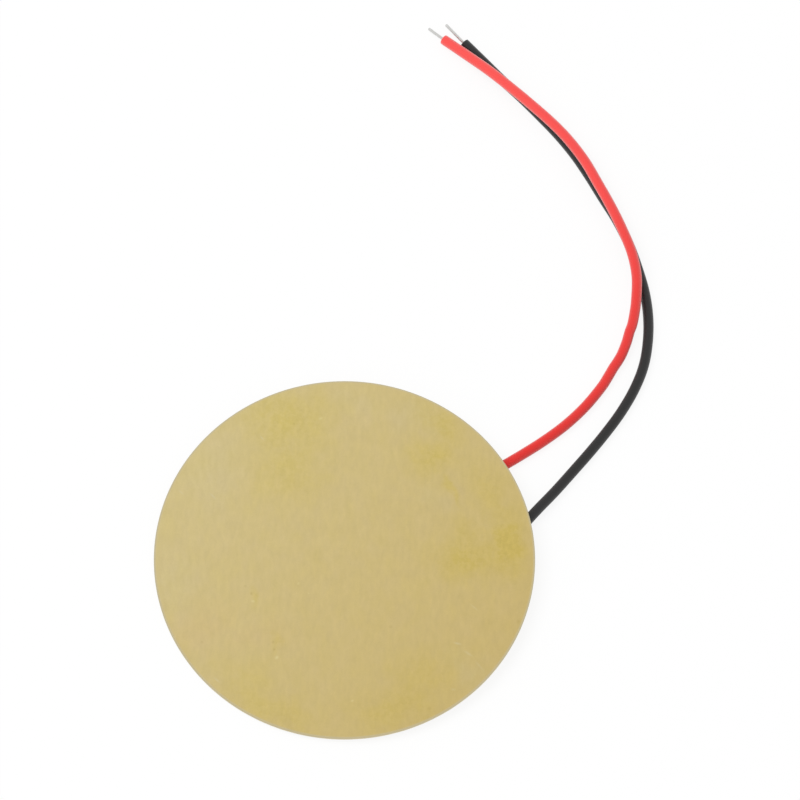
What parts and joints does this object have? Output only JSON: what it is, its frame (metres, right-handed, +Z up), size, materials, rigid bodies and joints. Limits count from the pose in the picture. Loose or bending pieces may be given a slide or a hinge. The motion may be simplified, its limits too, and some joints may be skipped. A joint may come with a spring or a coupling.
{
  "type": "piezo disc",
  "caption": "Flat piezo disc: a round brass plate with a silvered ceramic disc glued beneath it, and a red and a black lead soldered on.",
  "frame": {"origin": "on the resting surface, straight below the centre of the brass plate", "axes": "+Z up from the resting surface, with the brass side up; +X from the plate's centre towards the red lead's solder joint, the side on which the plate is raised. The plate's own normal leans 2.86 degrees from +Z towards -X, because the disc rests on its ceramic's rim and on that joint"},
  "size_m": [0.0203, 0.02, 0.0007],
  "materials": {
    "brass": "cold-rolled sheet, satin, lightly scratched",
    "epoxy": "cured epoxy film, glossy where it was squeezed out",
    "silver_print": "screen-printed and fired silver, matt",
    "piezo_ceramic": "pressed and fired, fine-grained, matt",
    "solder": "tin solder as it set, bright and smooth",
    "red_pvc": "extruded PVC, satin",
    "black_pvc": "extruded PVC, satin",
    "tinned_copper": "tinned copper strands, dull silvery"
  },
  "bodies": {
    "root": {"brass_plate": "brass", "glue_layer": "epoxy", "inner_silver": "silver_print", "ceramic_disc": "piezo_ceramic", "outer_silver": "silver_print", "red_solder_joint": "solder", "black_solder_joint": "solder", "red_insulation": "red_pvc", "red_wire": "tinned_copper", "black_insulation": "black_pvc", "black_wire": "tinned_copper"}
  },
  "joints": []
}
